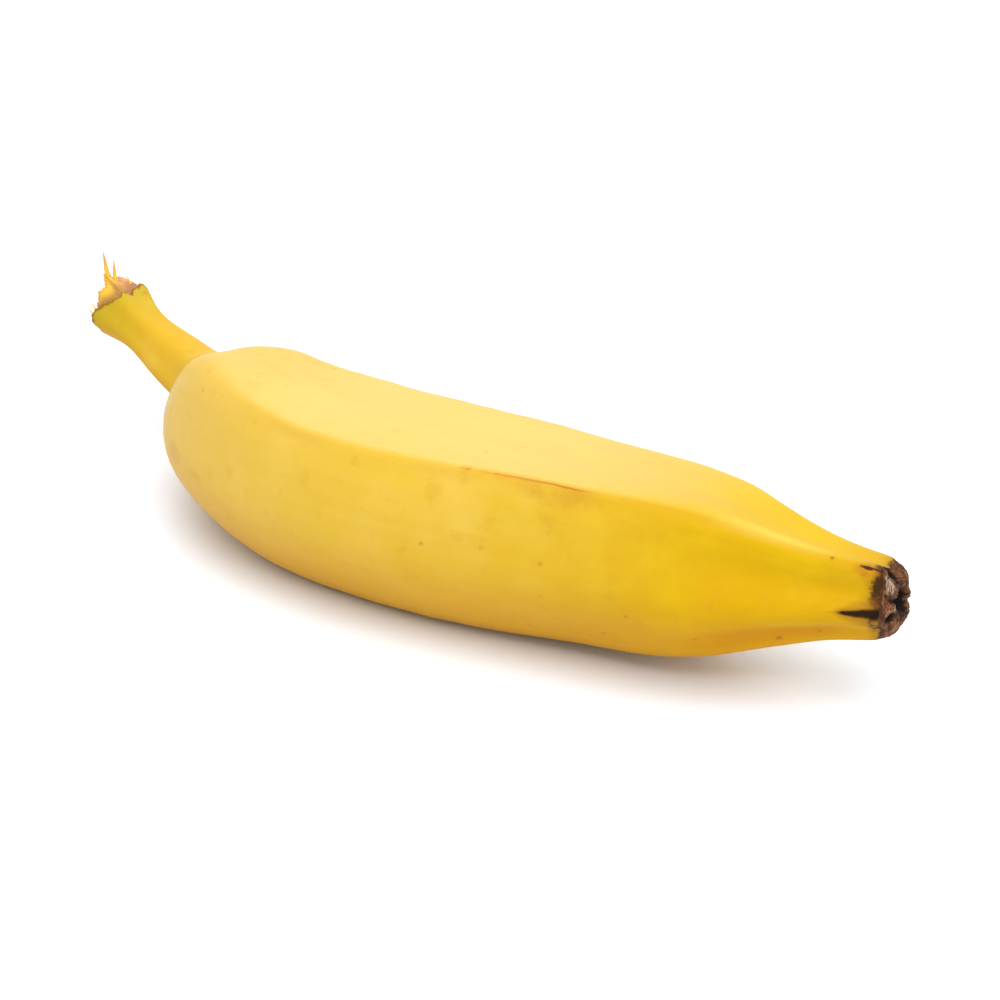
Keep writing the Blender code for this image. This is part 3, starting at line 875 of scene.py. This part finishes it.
def pith_finish():
    """Torn pith: yellow strands on the tongue, orange-pink and tan tissue beside it."""
    f = Finish("torn_pith", roughness=0.7)
    _, angle = f.chart()
    relief = f.attribute("relief")
    share = f.attribute("from_middle")
    patch = f.noise(f.place(), 420, 4.0, 0.6)
    strand = f.noise(f.place((1.0, 1.0, 0.18)), 1500, 3.0, 0.6)
    grain = f.noise(f.place(), 2600, 3.0, 0.7)
    away = f.maths("ABSOLUTE", angle - 66 + (patch - 0.5) * 50)
    yellow = f.smooth(away, 44, 22)
    pink = f.near(angle - 128 + (patch - 0.5) * 40, 46, 22)
    colour = f.mix(f.smooth(patch, 0.35, 0.65), tone(206, 146, 62), tone(222, 170, 62))
    colour = f.mix(yellow, colour, tone(232, 186, 52))
    colour = f.mix(pink * 0.85, colour, tone(214, 150, 98))
    colour = f.mix(f.smooth(strand, 0.52, 0.72) * 0.55, colour, tone(190, 122, 48))
    # Painted shade: darker in the dips of the torn surface.
    colour = f.mix(f.smooth(relief + grain, 0.2, -1.6) * 0.65, colour, tone(150, 88, 40))
    holes = f.smooth(f.noise(f.place(), 900, 2.0), 0.63, 0.70) * pink * f.smooth(share, 0.4, 0.7)
    colour = f.mix(holes * 0.8, colour, tone(96, 56, 36))
    colour = f.mix(f.smooth(share, 0.76, 0.82) * 0.7, colour, tone(140, 84, 38))
    return f.done(Base_Color=colour, Normal=f.bumps(grain + strand, 0.00012))


def fibre_finish():
    """Dry fibres: yellow at the root and orange-tan towards the tip."""
    f = Finish("dry_fibre", roughness=0.6)
    distance, _ = f.chart()
    patch = f.noise(f.place(), 900, 3.0)
    colour = f.mix(f.smooth(distance + patch * 60, 90, 190), tone(238, 194, 56), tone(220, 150, 62))
    colour = f.mix(f.smooth(distance, 175, 200) * 0.5, colour, tone(226, 190, 120))
    return f.done(Base_Color=colour, Normal=f.bumps(patch, 0.00005))


def cap_finish():
    """Dried blossom cap: brown and grey-brown, with painted shade in its folds, pits and crater,
    and paler on its raised edges.
    """
    f = Finish("dry_blossom", roughness=0.72, Specular_IOR_Level=0.2)
    place_on = f.place()
    _, angle = f.chart()
    relief = f.attribute("relief")
    share = f.attribute("from_middle")
    patch = f.noise(place_on, 380, 4.0, 0.65)
    grain = f.noise(place_on, 2000, 4.0, 0.7)
    flakes = f.noise(f.place((0.35, 1, 1)), 1100, 4.0, 0.7)
    turn = angle * (math.pi / 180)
    rings = f.round_noise(share * 24.0, turn, 2.2, 5.0, 0.68, 0.5)
    colour = f.mix(f.smooth(patch, 0.38, 0.62), tone(82, 45, 22), tone(136, 86, 48))
    colour = f.mix(f.smooth(rings, 0.50, 0.62) * 0.75, colour, tone(58, 32, 18))
    colour = f.mix(f.smooth(rings, 0.46, 0.34) * 0.60, colour, tone(178, 124, 80))
    colour = f.mix(f.smooth(flakes, 0.54, 0.68) * 0.5, colour, tone(56, 34, 22))
    # Painted shade: darker where the relief is low, in the folds and pits.
    colour = f.mix(f.smooth(relief + grain, 0.2, -1.0), colour, tone(28, 16, 12))
    # Paler where the relief is high.
    raised_pale = f.smooth(relief + grain * 0.8 + flakes, 1.5, 2.5)
    colour = f.mix(raised_pale * 0.45, colour, tone(188, 142, 104))
    pale = f.near(angle - 46 + (patch - 0.5) * 16, 17, 6)
    pale = pale * f.smooth(share, 0.66, 0.76) * f.smooth(share, 0.93, 0.86)
    pale = pale * f.smooth(rings, 0.60, 0.44)
    colour = f.mix(pale * 0.85, colour, tone(224, 196, 164))
    rim_line = f.near(angle - 14 + (patch - 0.5) * 20, 22, 10)
    rim_line = rim_line * f.near(share - 0.60 + (grain - 0.5) * 0.06, 0.05, 0.01)
    colour = f.mix(rim_line * 0.55, colour, tone(206, 168, 130))
    joint = f.smooth(share + (patch - 0.5) * 0.06, 0.92, 0.955)
    colour = f.mix(joint * 0.70, colour, tone(64, 36, 14))
    # Painted shade: the crater in the middle is near black.
    colour = f.mix(f.smooth(share + (patch - 0.5) * 0.2, 0.46, 0.26), colour, tone(22, 12, 9))
    return f.done(Base_Color=colour, Normal=f.bumps(grain + flakes + rings * 1.5, 0.00030))


def floor_finish():
    """White table, very slightly mottled."""
    f = Finish("pale_table", roughness=0.6)
    colour = f.mix(f.noise(f.place(), 6, 2.0), tone(237, 244, 254), tone(240, 246, 255))
    return f.done(Base_Color=colour)


# The pieces

def build_fruit():
    """The pieces that stand for the solid fruit."""
    peel = add_piece("peel", peel_mesh(), peel_finish())
    add_piece("torn_pith", pith_mesh(), pith_finish())
    fibre = fibre_finish()
    add_piece("torn_fibres", fibres_mesh(), fibre)
    add_piece("torn_hairs", hairs_mesh(), fibre)
    add_piece("blossom_cap", cap_mesh(), cap_finish())
    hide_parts("banana")


# The table, the light and the camera

TABLE_HALF = 3.0
SURROUND_STRENGTH = 0.66

# Name, place, target, size in metres and power in watts.
LIGHTS = (
    ("overhead", (0.08, -0.24, 1.0), (0, 0, 0), 1.3, 12.4),
    ("behind", (-0.50, 0.95, 0.58), (0, 0, 0.02), 0.8, 4.0),
    ("right", (0.95, -0.15, 0.40), (0.05, 0, 0), 0.5, 2.0),
)
CAMERA_AZIMUTH = 33.0
CAMERA_ELEVATION = 27.0
CAMERA_REACH = 0.9
CAMERA_TARGET = (0.01431, -0.00235, 0.01915)
LENS_LENGTH = 175.6
SENSOR_WIDTH = 36.0


def build_table():
    """A wide white table with its top at height zero."""
    half = TABLE_HALF
    mesh = bpy.data.meshes.new("table")
    mesh.from_pydata([(-half, -half, 0), (half, -half, 0), (half, half, 0), (-half, half, 0)], [],
                     [(0, 1, 2, 3)])
    mesh.materials.append(floor_finish())
    table = bpy.data.objects.new("table", mesh)
    bpy.context.scene.collection.objects.link(table)


def aim(thing, target):
    """Turn a light or a camera from where it stands towards a point."""
    thing.rotation_mode = "QUATERNION"
    thing.rotation_quaternion = (Vector(target) - thing.location).to_track_quat("-Z", "Y")


def add_light(name, place_at, target, size, power):
    """A square soft light."""
    lamp = bpy.data.lights.new(name, "AREA")
    lamp.size = size
    lamp.energy = power
    thing = bpy.data.objects.new(name, lamp)
    bpy.context.scene.collection.objects.link(thing)
    thing.location = place_at
    thing.visible_camera = False
    aim(thing, target)


def build_light():
    """A white surround, a broad soft light overhead, one low behind for the peel's sheen, and
    a small one at the right."""
    world = bpy.data.worlds.new("surround")
    world.use_nodes = True
    world.node_tree.nodes["Background"].inputs["Color"].default_value = (1.0, 1.0, 1.0, 1.0)
    world.node_tree.nodes["Background"].inputs["Strength"].default_value = SURROUND_STRENGTH
    bpy.context.scene.world = world
    for light in LIGHTS:
        add_light(*light)


def build_camera():
    """The photograph's camera: a long lens from the front right, a little above."""
    azimuth, elevation = math.radians(CAMERA_AZIMUTH), math.radians(CAMERA_ELEVATION)
    back = Vector((math.sin(azimuth) * math.cos(elevation),
                   -math.cos(azimuth) * math.cos(elevation), math.sin(elevation)))
    target = Vector(CAMERA_TARGET)
    lens = bpy.data.cameras.new("camera")
    lens.lens = LENS_LENGTH
    lens.sensor_width = SENSOR_WIDTH
    camera = bpy.data.objects.new("camera", lens)
    bpy.context.scene.collection.objects.link(camera)
    camera.location = target + back * CAMERA_REACH
    aim(camera, target)
    bpy.context.scene.camera = camera


build_fruit()
build_table()
build_light()
build_camera()
bpy.context.scene.view_settings.view_transform = "Standard"
